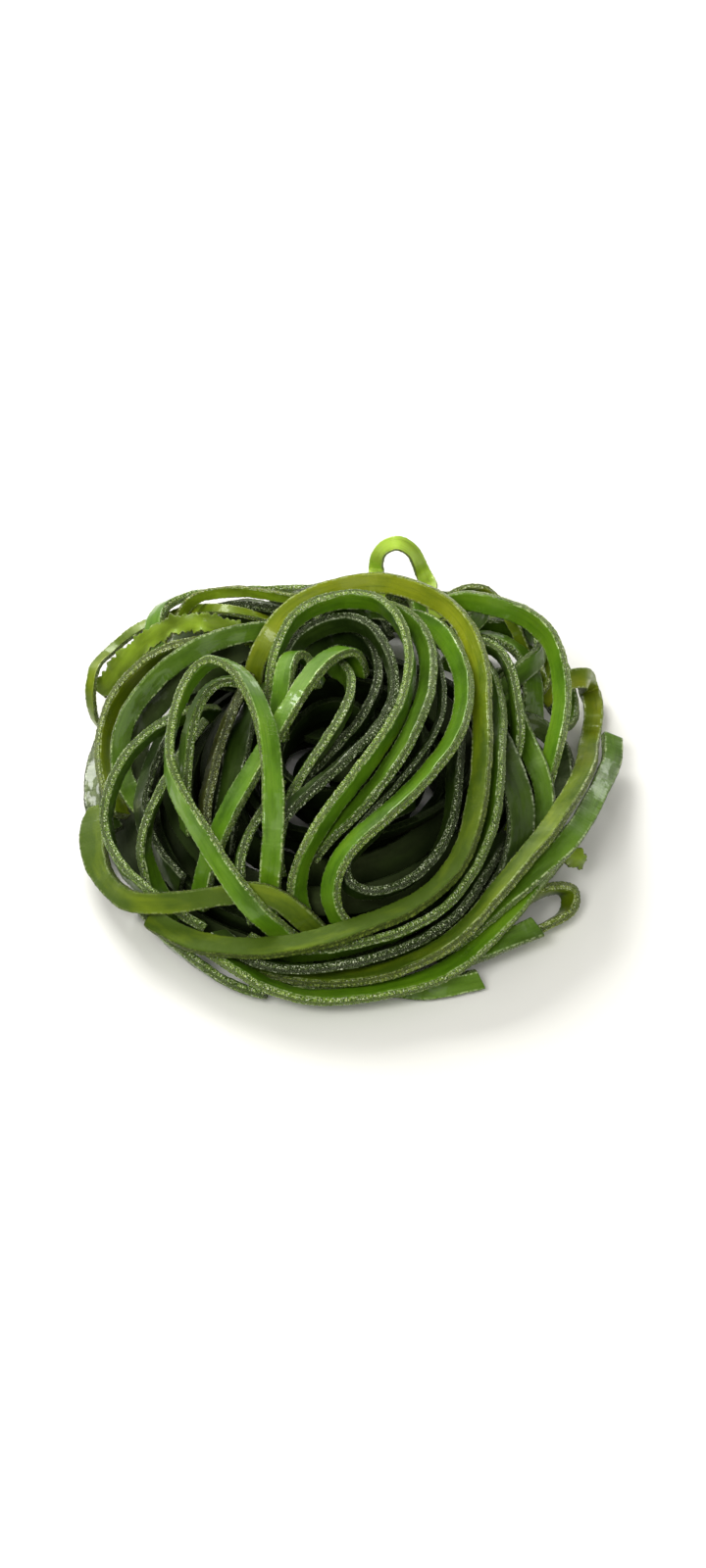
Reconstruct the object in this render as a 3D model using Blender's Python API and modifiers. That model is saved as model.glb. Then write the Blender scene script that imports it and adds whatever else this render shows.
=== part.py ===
"""A heap of soaked kelp, cut into long strips and tangled like a nest of broad noodles.

Every strip is one long piece cut from a kelp blade: a band with a rectangular section, smooth on its two
skin sides and squared off where it was cut. A few are scraps of the blade's thin waved margin. The
strips lie over, beside and under each other, and hold the heap together by their own tangle. The heap
stands on the flat underside of its lowest strip.

All lengths are in millimetres until the meshes are made.
"""

import math
import random

import bmesh
import bpy
import numpy as np

MM = 0.001

# The heap as a whole: a low dome, round at the front and squarer at the back.
HALF_WIDTH = 93.0
HALF_DEPTH = 92.0
HEIGHT = 60.0
DOME_FULLNESS = 0.55
FRONT_ROUNDNESS = 2.0
BACK_SQUARENESS = 3.0
FULLY_SQUARE_BEHIND = 60.0
STEEPEST_SIDE = 2.5

# The widths and thicknesses of the cut pieces. A thin one comes from near the blade's margin. The width
# swells and narrows along a strip, and a cut end is up to that much out of square on either side.
STRIP_WIDTH, STRIP_THICKNESS = 7.6, 3.2
THIN_WIDTH, THIN_THICKNESS = 4.4, 1.8
BROAD_WIDTH, BROAD_THICKNESS = 10.5, 2.4
RIBBON_WIDTH, RIBBON_THICKNESS = 6.0, 1.5
MARGIN_WIDTH, MARGIN_THICKNESS = 7.5, 1.2
MARGIN_WAVE = 1.3
MARGIN_WAVE_LENGTH = 13.0
MARGIN_FINER_STEPS = 3
WIDTH_SWELL = 0.05
LONG_SWELL, SHORT_SWELL = 61.0, 24.0
SLANT = 1.1

# The distance between the points that a strip is laid through, and the gap kept above the floor.
STRIP_SPACING = 6.3
THIN_SPACING = 4.6
NEST_SPACING = 9.0
FLOOR_GAP = 0.2

# The strips are placed as they show from in front or from behind, looking down at this angle.
VIEW_ELEVATION = math.radians(47.0)
VIEW_SIN = math.sin(VIEW_ELEVATION)
VIEW_COS = math.cos(VIEW_ELEVATION)

# How a strip's width stands to the heap's surface, in degrees. At 0 it lies flat, and at 90 it stands
# on its cut edge. Above 0 its left side is the raised one, below 0 its right side. A pair is the lean at
# the strip's first end and at its last, with an even twist between.
ON_EDGE = 68.0
LEANING = 46.0
LYING = 12.0

# The strips that show from in front: name, kind, lean, tone, and the route as (across, up, below).
# Across and up are measured on the view plane from the heap's middle, and below is how deep the strip's
# middle lies under the dome. A negative number stands proud of it.
NEAR_STRIPS = [
    ("dark_inner_loop", "strip", ON_EDGE, "dark", [
        (-14, 44, 26), (-13, 54, 20), (-7, 61, 16), (1, 62, 13), (8, 58, 11), (11, 50, 10),
        (10, 41, 10), (5, 31, 10), (-2, 23, 11), (-10, 15, 13), (-18, 7, 17)]),
    ("teardrop_loop", "strip", ON_EDGE, "dark", [
        (40, 32, 14), (39, 20, 9), (38, 10, 7), (37, 0, 6), (34, -9, 6), (28, -18, 6), (20, -24, 5),
        (11, -27, 4), (4, -26, 3), (0, -21, 4), (4, -14, 8), (11, -9, 12), (18, -3, 16), (24, 5, 20)]),
    ("left_dark_blade", "broad", -LEANING, "dark", [
        (-79, 46, 14), (-84, 38, 8), (-88, 26, 4), (-88, 14, 4), (-85, 3, 7), (-80, -5, 13)]),
    ("left_face_strip", "broad", LYING, "dark", [
        (-60, 34, 12), (-65, 24, 8), (-69, 13, 6), (-72, 2, 5), (-71, -9, 6), (-66, -19, 9), (-58, -27, 14)]),
    ("left_inner_strip", "strip", ON_EDGE, "green", [
        (-50, 32, 13), (-55, 22, 8), (-60, 11, 5), (-64, 0, 4), (-66, -11, 4), (-65, -21, 6),
        (-61, -30, 10), (-54, -37, 15)]),
    ("left_outer_arc", "strip", -ON_EDGE, "olive", [
        (-24, 66, 18), (-38, 65, 10), (-50, 61, 6), (-62, 56, 4), (-72, 49, 3), (-80, 40, 3),
        (-84, 30, 3), (-85, 20, 4), (-83, 9, 8), (-78, -1, 14)]),
    ("left_green_arc", "strip", (-LEANING, -ON_EDGE), "green", [
        (-14, 60, 20), (-27, 62, 11), (-40, 61, 5), (-52, 57, 1), (-63, 50, 0), (-70, 43, 0),
        (-76, 35, 0), (-79, 26, 1), (-79, 17, 4), (-76, 9, 8), (-70, 2, 13)]),
    ("left_inner_arc", "broad", LYING, "dark", [
        (-36, 47, 24), (-46, 49, 14), (-56, 47, 9), (-65, 41, 8), (-71, 33, 8), (-74, 23, 9), (-75, 13, 12),
        (-72, 4, 16)]),
    ("left_low_arc", "broad", LYING, "dark", [
        (-10, 54, 25), (-21, 58, 17), (-32, 60, 13), (-42, 57, 12), (-51, 51, 14), (-58, 42, 17)]),
    ("back_left_dark_strip", "strip", LYING, "dark", [
        (-8, 68, 16), (-20, 71, 10), (-32, 73, 7), (-44, 74, 5), (-55, 73, 6), (-64, 68, 9), (-70, 59, 14)]),
    ("back_left_margin", "margin", LYING, "pale", [
        (-26, 60, 14), (-37, 63, 7), (-48, 65, 2), (-58, 65, 0), (-67, 62, -1), (-75, 56, -1),
        (-81, 49, -1), (-86, 41, 0)]),
    ("back_left_thin_arc", "thin", ON_EDGE, "olive", [
        (-20, 68, 14), (-33, 72, 6), (-44, 74, 2), (-54, 75, 0), (-64, 72, 0), (-74, 67, 0),
        (-82, 59, 0), (-87, 50, 2), (-89, 40, 4), (-88, 29, 9)]),
    ("back_top_strip", "thin", LYING, "pale", [
        (0, 76, 10), (-10, 77, 4), (-20, 78, 2), (-32, 79, 0), (-44, 79, 0), (-53, 77, 0),
        (-59, 72, 3), (-61, 65, 7), (-58, 58, 13)]),
    ("standing_loop", "ribbon", LYING, "pale", [
        (6, 66, 13), (8, 75, 3), (9, 83, 0), (10, 88.5, 0), (13, 92.5, 0), (17.5, 94, 0), (22, 92.5, 0),
        (25.5, 88, 0), (28.5, 81.5, 0), (31.5, 75, 3), (34, 66, 9)]),
    ("right_back_strip", "strip", LEANING, "green", [
        (40, 66, 16), (48, 66, 10), (56, 63, 8), (63, 58, 8), (67, 50, 9), (68, 41, 11), (67, 32, 15)]),
    ("right_dark_strip", "strip", LEANING, "dark", [
        (50, 44, 17), (57, 49, 12), (64, 50, 9), (71, 49, 8), (77, 44, 11), (79, 37, 17)]),
    ("right_cross_strip", "strip", ON_EDGE, "dark", [
        (56, 36, 16), (63, 36, 11), (71, 32, 9), (77, 25, 9), (79, 15, 10), (77, 5, 14)]),
    ("right_thin_arc", "thin", ON_EDGE, "olive", [
        (26, 73, 12), (34, 76, 6), (42, 78, 1), (50, 77, 0), (58, 73, 0), (65, 67, 1), (71, 59, 4),
        (75, 49, 9)]),
    ("right_bright_bend", "strip", LEANING, "bright", [
        (26, 70, 16), (36, 72, 8), (46, 71, 2), (56, 69, -1), (65, 66, -2), (72, 59, -3), (76, 49, -3),
        (77, 38, -2), (75, 28, 0), (72, 18, 4), (69, 8, 10)]),
    ("right_face_strip", "broad", LEANING, "dark", [
        (46, 42, 16), (51, 32, 11), (56, 21, 7), (60, 9, 5), (62, -2, 5), (61, -12, 5), (57, -21, 8),
        (50, -29, 12), (42, -34, 17)]),
    ("right_small_arc", "strip", ON_EDGE, "green", [
        (36, 50, 18), (42, 56, 9), (49, 58, 4), (55, 55, 2), (59, 47, 2), (60, 37, 3), (60, 27, 5),
        (57, 17, 10), (51, 9, 16)]),
    ("right_inner_strip", "strip", ON_EDGE, "green", [
        (57, 44, 16), (61, 33, 10), (65, 22, 6), (69, 12, 4), (70, 3, 4), (67, -6, 5), (61, -14, 9),
        (54, -22, 14)]),
    ("center_brown_strip", "strip", ON_EDGE, "brown", [
        (-33, 46, 17), (-38, 35, 11), (-42, 24, 8), (-45, 12, 7), (-47, 1, 7), (-46, -9, 9), (-42, -19, 14)]),
    ("center_pale_strip", "broad", LYING, "dark", [
        (-28, 44, 17), (-33, 33, 12), (-36, 22, 9), (-38, 10, 8), (-40, -2, 9), (-42, -13, 13)]),
    ("center_stub_loop", "strip", LYING, "bright", [
        (-8, 45, 13), (-12, 53, 6), (-17, 56, 0), (-20, 50, 0), (-21, 41, 3), (-22, 33, 8), (-22, 25, 15)]),
    ("center_edge_strip", "strip", ON_EDGE, "green", [
        (-20, 10, 16), (-27, 0, 10), (-32, -9, 8), (-34, -18, 7), (-33, -27, 9), (-29, -37, 14)]),
    ("center_long_arc", "strip", ON_EDGE, "green", [
        (-6, 53, 13), (1, 52, 3), (4, 46, 1), (2, 37, 1), (-3, 28, 2), (-10, 18, 4), (-17, 9, 5),
        (-21, 0, 6), (-23, -10, 8), (-21, -20, 13)]),
    ("center_diagonal", "strip", LEANING, "bright", [
        (10, 48, 13), (4, 54, 3), (-4, 52, -1), (-11, 45, -2), (-17, 36, -1), (-23, 26, 1), (-29, 16, 2),
        (-35, 6, 3), (-40, -4, 4), (-44, -14, 6), (-47, -24, 10), (-49, -33, 15)]),
    ("hole_loop", "strip", ON_EDGE, "dark", [
        (-20, 44, 22), (-19, 55, 13), (-14, 63, 8), (-6, 67, 5), (2, 68, 3), (9, 65, 1), (14, 58, -1),
        (17, 49, -2), (17, 40, -2), (13, 31, -2), (6, 23, -2), (-2, 15, -2), (-11, 7, -1), (-19, -1, 1),
        (-24, -10, 6), (-25, -20, 13)]),
    ("bright_s_strip", "strip", -ON_EDGE, "bright", [
        (-28, 36, 18), (-27, 47, 9), (-23, 58, 4), (-16, 67, 1), (-6, 72, -1), (4, 74, -2), (12, 73, -3),
        (18, 69, -4), (22, 62, -5), (24, 53, -6), (23, 43, -6), (20, 33, -6), (14, 23, -6), (7, 13, -6),
        (-1, 3, -5), (-8, -7, -3), (-13, -17, 0), (-15, -27, 4), (-13, -36, 10)]),
    ("glossy_s_strip", "strip", LEANING, "green", [
        (-8, 70, 14), (3, 77, 5), (13, 77, -1), (21, 73, -4), (27, 65, -6), (29, 55, -7), (28, 44, -7),
        (24, 33, -7), (18, 21, -6), (11, 11, -4), (4, 2, 0), (-4, -6, 5), (-10, -14, 12)]),
    ("slim_s_strip", "thin", ON_EDGE, "dark", [
        (26, 64, 4), (32, 56, -1), (34, 46, -3), (34, 36, -3), (31, 27, -3), (25, 18, -3), (18, 9, -2),
        (10, 1, 0), (3, -7, 4), (-3, -15, 9)]),
    ("big_s_strip", "strip", LEANING, "bright", [
        (6, 66, 19), (16, 70, 10), (26, 69, 2), (34, 64, -3), (39, 56, -5), (42, 46, -6), (41, 35, -6),
        (37, 25, -6), (29, 15, -5), (20, 6, -5), (10, -3, -4), (2, -11, -3), (-3, -20, -2), (-4, -29, 1),
        (0, -37, 6), (8, -43, 13)]),
    ("flat_band", "strip", (-LEANING, LYING), "olive", [
        (-87, 3, 3), (-86, -7, 2), (-82, -17, 1), (-74, -24, 0), (-63, -28, -1), (-51, -28.5, -2),
        (-40, -27, -3), (-29, -26, -3), (-21, -28, 0), (-14, -34, 5), (-8, -41, 12)]),
    ("left_loop", "strip", -LEANING, "green", [
        (-46, 35, 24), (-52, 35, 12), (-58, 33, 3), (-63, 30, 0), (-70, 25, -4), (-77, 16, -5), (-81, 6, -5),
        (-82, -4, -4), (-79, -13, -3), (-73, -21, -1), (-65, -27, 4), (-56, -33, 10), (-46, -38, 16)]),
    ("folded_inner_strip", "strip", ON_EDGE, "green", [
        (-28, 38, 8), (-34, 45, 0), (-41, 46, -4), (-47, 42, -5), (-51, 34, -4), (-53, 24, -2),
        (-54, 14, 1), (-54, 4, 5), (-53, -6, 11)]),
    ("folded_loop", "strip", LYING, "bright", [
        (-17, -51, 15), (-24, -42, 6), (-32, -30, -4), (-40, -18, -7), (-48, -5, -8), (-55, 6, -8),
        (-59, 16, -8), (-59, 26, -9), (-57, 36, -11), (-53, 45, -13), (-47, 52, -15), (-41, 52, -16),
        (-35, 48, -14), (-30, 40, -12), (-26, 30, -10), (-24, 19, -8), (-23, 6, -6), (-23, -6, -4),
        (-24, -17, -1), (-25, -26, 6), (-25, -36, 13)]),
    ("right_long_strip", "strip", ON_EDGE, "green", [
        (32, 66, 18), (42, 61, 10), (49, 53, 5), (53, 42, 3), (54, 30, 2), (53, 18, 2), (52, 6, 2),
        (50, -6, 2), (46, -17, 2), (42, -25, 2), (36, -34, 1), (27, -40, 1), (15, -45, 1), (2, -48, 1),
        (-10, -49, 3), (-20, -47, 8), (-28, -43, 14)]),
    ("crown_and_front_strip", "strip", LEANING, "olive", [
        (-33, 40, 22), (-32, 51, 12), (-28, 60, 5), (-21, 69, 0), (-10, 76, -3), (2, 80, -4), (14, 81, -5),
        (26, 78, -6), (37, 72, -6), (44, 63, -6), (48, 50, -5), (48, 38, -4), (48, 26, -3), (47, 13, -2),
        (45, 1, -2), (42, -10, -2), (37, -19, -2), (30, -26, -2), (20, -32, -2), (9, -36, -3), (-3, -40, -4),
        (-15, -43, -5), (-27, -44.5, -5), (-38, -44, -4), (-48, -42, -3), (-56, -38, -1), (-63, -33, 1)]),
    ("front_dark_strip", "strip", ON_EDGE, "dark", [
        (60, -10, 15), (54, -20, 9), (47, -29, 5), (39, -37, 3), (30, -43, 3), (18, -48, 3), (5, -51, 3),
        (-8, -52, 3), (-20, -51, 4), (-32, -47, 6), (-43, -42, 11)]),
    ("right_outer_loop", "strip", ON_EDGE, "olive", [
        (64, 42, 16), (71, 47, 8), (78, 48, 3), (85, 45, 1), (89, 38, 0), (90, 29, -1), (88, 19, -2),
        (83, 10, -3), (76, 2, -3), (69, -6, -3), (62, -13, -3), (55, -21, -3), (48, -29, -2), (41, -37, -1),
        (32, -44, 0), (21, -49, 1), (8, -53, 2), (-6, -54, 3), (-20, -53, 5), (-33, -50, 10)]),
    ("right_end_strip", "strip", LEANING, "green", [
        (91, 27, 0), (90, 17, -1), (86, 7, -2), (80, -4, -3), (73, -13, -3), (65, -21, -3), (57, -28, -2),
        (49, -35, -1), (41, -41, 0), (31, -47, 1), (18, -52, 2), (5, -54, 3), (-9, -54, 4), (-22, -53, 8)]),
    ("front_edge_strip", "strip", ON_EDGE, "bright", [
        (82, -4, 5), (75, -14, 3), (66, -23, 1), (57, -31, 0), (47, -39, 0), (37, -46, 0), (26, -51, 0),
        (13, -54, 0), (0, -56, 0), (-12, -56, 0), (-24, -53, 1), (-34, -49, 3), (-43, -45, 7), (-52, -40, 12)]),
    ("front_left_strip", "strip", LEANING, "green", [
        (-72, -30, 9), (-64, -38, 5), (-55, -45, 3), (-45, -51, 2), (-35, -56, 4), (-24, -58, 9)]),
    ("small_floor_loop", "strip", ON_EDGE, "olive", [
        (38, -38, 12), (46, -36, 6), (54, -31, 2), (61, -28, 0), (68, -26, 0), (75, -28, 0), (78, -33, 0),
        (75, -39, 0), (67, -43, 0), (58, -44, 2), (49, -44, 6)]),
    ("floor_cut_end", "strip", LEANING, "green", [
        (63, -40, 0), (55, -43, 0), (47, -46, 1), (39, -49, 4), (31, -52, 9)]),
    ("front_cut_end", "strip", LYING, "green", [
        (43, -56, 0), (34, -58, 0), (25, -59, 1), (15, -57, 3), (6, -54, 8)]),
    ("right_margin_scrap", "margin", LYING, "pale", [
        (56, -3, 13), (63, -8, 7), (70, -12, 0), (77, -15, -4), (83, -18, -5)]),
]

# The strips that show only from behind, told in the same way from there.
FAR_STRIPS = [
    ("far_long_arc", "strip", -ON_EDGE, "green", [
        (-74, -6, 16), (-81, -14, 8), (-78, -25, 1), (-66, -37, 0), (-49, -47, 0), (-28, -55, 0),
        (-6, -59, 0), (16, -59, 0), (36, -54, 1), (52, -45, 3), (64, -34, 7)]),
    ("far_nested_arc", "strip", -ON_EDGE, "olive", [
        (-64, -2, 16), (-71, -11, 7), (-70, -22, 1), (-60, -33, 1), (-44, -42, 1), (-25, -48, 1), (-4, -51, 1),
        (17, -50, 1), (37, -45, 1), (53, -37, 1), (62, -29, 3), (66, -19, 7), (64, -9, 14)]),
    ("far_face_strip", "strip", LYING, "bright", [
        (60, -6, 12), (66, -15, 4), (66, -24, -2), (60, -32, -3), (48, -39, -3), (32, -42, -3), (15, -41, -3),
        (-3, -36, -2), (-18, -28, -1), (-27, -18, 3), (-28, -8, 10)]),
    ("far_hook", "strip", -ON_EDGE, "green", [
        (34, -12, 15), (22, -17, 6), (8, -18, 3), (-6, -20, 2), (-20, -25, 3), (-32, -33, 2), (-43, -34, 2),
        (-50, -27, 2), (-50, -17, 3), (-43, -9, 7), (-34, -5, 14)]),
    ("far_dark_bundle", "strip", ON_EDGE, "dark", [
        (60, -2, 12), (62, -12, 6), (56, -22, 5), (44, -29, 5), (29, -32, 5), (13, -31, 5), (-1, -27, 6),
        (-12, -19, 9), (-18, -10, 15)]),
    ("far_end_strip", "strip", LEANING, "dark", [
        (-58, -50, 0), (-44, -56, 0), (-29, -62, 0), (-12, -66, 0), (6, -67, 0), (23, -63, 2), (38, -57, 8)]),
    ("far_right_loop", "strip", LEANING, "green", [
        (-56, 2, 13), (-65, -3, 5), (-70, -13, 1), (-66, -24, -1), (-56, -31, 0), (-44, -30, 4),
        (-38, -22, 10)]),
]

# The nest that fills the heap, tier on tier: height of a coil's middle, outer and inner radius, the
# step from turn to turn, kind and lean.
NEST_TIERS = [
    (7.5, 79.0, 9.0, 12.6, "broad", LYING),
    (14.5, 73.0, 14.0, 12.8, "strip", ON_EDGE),
    (22.0, 61.0, 10.0, 13.0, "broad", LYING),
    (30.0, 45.0, 13.0, 14.0, "broad", LYING),
]

NEST_WOBBLE = 1.6
NEST_RISE = 1.2

# The lowest strip lies flat on the floor in an open coil and carries the rest.
FOOT_OUTER, FOOT_INNER = 73.0, 46.0
FOOT_TURNS = 1.6
FOOT_START = math.radians(200.0)

# The skin colours of the strips, from the wet dark middle of the blade to its thin pale margin.
TONES = {
    "bright": (0.080, 0.200, 0.016),
    "green": (0.045, 0.125, 0.014),
    "olive": (0.110, 0.170, 0.022),
    "dark": (0.018, 0.055, 0.010),
    "brown": (0.060, 0.068, 0.014),
    "pale": (0.270, 0.360, 0.040),
}
WET_ROUGHNESS = 0.28

KINDS = {
    "strip": (STRIP_WIDTH, STRIP_THICKNESS),
    "thin": (THIN_WIDTH, THIN_THICKNESS),
    "broad": (BROAD_WIDTH, BROAD_THICKNESS),
    "ribbon": (RIBBON_WIDTH, RIBBON_THICKNESS),
    "margin": (MARGIN_WIDTH, MARGIN_THICKNESS),
}

# The strips that widen into an uncut end of the blade: at which end, how much wider, and over what length.
# The end itself is round.
FLARED = {
    "flat_band": ("first", 0.6, 40.0),
    "back_left_margin": ("last", 0.8, 34.0),
    "right_margin_scrap": ("last", 0.2, 16.0),
}
TIP_LENGTH, TIP_WIDTH = 13.0, 0.35

# These strips lean against another direction than out of the heap: toward the eye, or straight up.
TOWARD_EYE = (0.0, -VIEW_COS, VIEW_SIN)
STRAIGHT_UP = (0.0, 0.0, 1.0)
LEANING_AGAINST = {
    "left_loop": TOWARD_EYE,
    "left_outer_arc": TOWARD_EYE,
    "left_inner_arc": TOWARD_EYE,
    "left_low_arc": TOWARD_EYE,
    "left_inner_strip": TOWARD_EYE,
    "folded_inner_strip": TOWARD_EYE,
    "back_left_margin": TOWARD_EYE,
    "back_left_thin_arc": TOWARD_EYE,
    "right_thin_arc": TOWARD_EYE,
    "right_bright_bend": TOWARD_EYE,
    "right_margin_scrap": TOWARD_EYE,
    "small_floor_loop": STRAIGHT_UP,
}


def smoothed(points, spacing):
    """Points every spacing along one smooth curve through the given points."""
    knots = np.array(points, float)
    knots = np.vstack([2 * knots[0] - knots[1], knots, 2 * knots[-1] - knots[-2]])
    dense = []
    steps = 24
    for a, b, c, d in zip(knots, knots[1:], knots[2:], knots[3:]):
        for step in range(steps):
            t = step / steps
            dense.append(0.5 * (2 * b + (c - a) * t + (2 * a - 5 * b + 4 * c - d) * t**2
                                + (3 * b - a - 3 * c + d) * t**3))
    dense.append(knots[-2])
    dense = np.array(dense)
    run = np.concatenate([[0], np.cumsum(np.linalg.norm(np.diff(dense, axis=0), axis=1))])
    count = max(4, int(round(run[-1] / spacing)) + 1)
    at = np.linspace(0, run[-1], count)
    return np.stack([np.interp(at, run, dense[:, k]) for k in range(3)], axis=1)


def plan_reach(x, y):
    """How far out a point of the floor lies: 0 at the middle of the heap and 1 at its foot."""
    toward_back = min(max(y / FULLY_SQUARE_BEHIND, 0.0), 1.0)
    power = FRONT_ROUNDNESS + (BACK_SQUARENESS - FRONT_ROUNDNESS) * toward_back
    return abs(x / HALF_WIDTH) ** power + abs(y / HALF_DEPTH) ** power


def dome(x, y):
    """The heap's height over a point of the floor."""
    return HEIGHT * max(1 - plan_reach(x, y), 0.0) ** DOME_FULLNESS


def dome_normal(x, y):
    """The direction straight out of the heap's surface over a point of the floor."""
    step = 1.0
    slope_x = (dome(x + step, y) - dome(x - step, y)) / (2 * step)
    slope_y = (dome(x, y + step) - dome(x, y - step)) / (2 * step)
    slopes = np.clip([slope_x, slope_y], -STEEPEST_SIDE, STEEPEST_SIDE)
    normal = np.array([-slopes[0], -slopes[1], 1.0])
    return normal / np.linalg.norm(normal)


def shell_level(point):
    """1 on the dome's surface, less inside it, and more outside it."""
    return plan_reach(point[0], point[1]) + (max(point[2], 0.0) / HEIGHT) ** (1 / DOME_FULLNESS)


def outward(point):
    """The direction in which the shell level rises fastest."""
    step = 1.0
    slope = np.array([shell_level(point + step * e) - shell_level(point - step * e) for e in np.eye(3)])
    slope[2] = max(slope[2], 1e-3)
    return slope / np.linalg.norm(slope)


def seen_from(facing, across, up, below, half_width):
    """The point that shows at (across, up), that far under the dome: from in front at +1, behind at -1."""
    x = facing * across
    depths = np.arange(-1.2 * HALF_DEPTH, 1.1 * HALF_DEPTH, 1.0)
    heights = np.array([dome(x, facing * y) for y in depths])
    if not heights.any():
        return np.array([x, facing * (up - VIEW_COS * half_width) / VIEW_SIN, half_width])
    crest = int(np.argmax(np.where(heights > 0, VIEW_SIN * depths + VIEW_COS * heights, -1000.0)))
    lowered = np.maximum(heights[:crest + 1] - below, half_width)
    shown = VIEW_SIN * depths[:crest + 1] + VIEW_COS * lowered
    if up >= shown[-1]:
        y = depths[crest]
        return np.array([x, facing * y, (up - VIEW_SIN * y) / VIEW_COS])
    y = float(np.interp(up, np.maximum.accumulate(shown), depths[:crest + 1]))
    return np.array([x, facing * y, max(dome(x, facing * y) - below, half_width)])


class Strip:
    """One cut strip: its middle line, the direction of its width, and how firmly it keeps its place."""

    def __init__(self, name, kind, route, lean, tone, facing=0, fixed=False, spacing=NEST_SPACING):
        self.name = name
        self.kind = kind
        self.tone = tone
        self.facing = facing
        self.fixed = fixed
        self.thickness = KINDS[kind][1]
        self.room = self.thickness + (1.6 * MARGIN_WAVE if kind == "margin" else 0.0)
        self.middle = smoothed(route, spacing)
        self.spacing = float(np.linalg.norm(np.diff(self.middle, axis=0), axis=1).mean())
        self.half_width = np.full(len(self.middle), KINDS[kind][0] / 2)
        if name in FLARED:
            end, flare, length = FLARED[name]
            run = self.spacing * np.arange(len(self.middle))
            run = run if end == "first" else run[::-1]
            self.half_width *= 1 + flare * np.clip(1 - run / length, 0, 1)
            self.half_width *= TIP_WIDTH + (1 - TIP_WIDTH) * np.sqrt(np.clip(run / TIP_LENGTH, 0, 1))
        along = np.gradient(self.middle, axis=0)
        along /= np.linalg.norm(along, axis=1)[:, None]
        first_lean, last_lean = lean if isinstance(lean, tuple) else (lean, lean)
        leans = np.radians(np.linspace(first_lean, last_lean, len(self.middle)))
        self.across = np.zeros_like(self.middle)
        for i, (point, ahead, tilt) in enumerate(zip(self.middle, along, leans)):
            normal = dome_normal(point[0], point[1]) if facing else STRAIGHT_UP
            side = np.cross(LEANING_AGAINST.get(name, normal), ahead)
            side /= max(np.linalg.norm(side), 1e-6)
            up = np.cross(ahead, side)
            self.across[i] = math.cos(tilt) * side + math.sin(tilt) * up


def shown_strips(table, facing):
    made = []
    for name, kind, lean, tone, route in table:
        half = KINDS[kind][0] / 2 if np.abs(lean).max() > LYING else KINDS[kind][1]
        points = [seen_from(facing, *point, half) for point in route]
        spacing = THIN_SPACING if kind == "thin" else STRIP_SPACING
        made.append(Strip(name, kind, points, lean, tone, facing, spacing=spacing))
    return made


def nest_coils():
    """One long strip coiled inwards in each tier of the nest, with a slow wobble."""
    draw = random.Random(11)
    made = []
    for k, (height, outer, inner, pitch, kind, lean) in enumerate(NEST_TIERS):
        start = draw.uniform(0, 2 * math.pi)
        wobble = draw.uniform(0, 2 * math.pi)
        turns = (outer - inner) / pitch
        steps = int(turns * 16)
        route = []
        for step in range(steps + 1):
            turn = 2 * math.pi * turns * step / steps
            radius = outer + (inner - outer) * step / steps + NEST_WOBBLE * math.sin(3 * turn + wobble)
            angle = start + turn * (-1) ** k
            rise = NEST_RISE * math.sin(2 * turn + wobble)
            route.append(np.array([radius * math.cos(angle), radius * math.sin(angle), height + rise]))
        through_middle = route[-1] * (-0.9, -0.9, 1)
        route += [0.5 * (route[-1] + through_middle), through_middle]
        made.append(Strip(f"nest_coil_{k + 1}", kind, route, lean, "dark"))
    return made


def foot_strip():
    route = []
    steps = 30
    for step in range(steps + 1):
        turn = FOOT_START + 2 * math.pi * FOOT_TURNS * step / steps
        radius = FOOT_OUTER + (FOOT_INNER - FOOT_OUTER) * step / steps
        route.append((radius * math.cos(turn), radius * math.sin(turn), STRIP_THICKNESS / 2))
    return Strip("foot_strip", "strip", route, 0.0, "dark", fixed=True)


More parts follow.
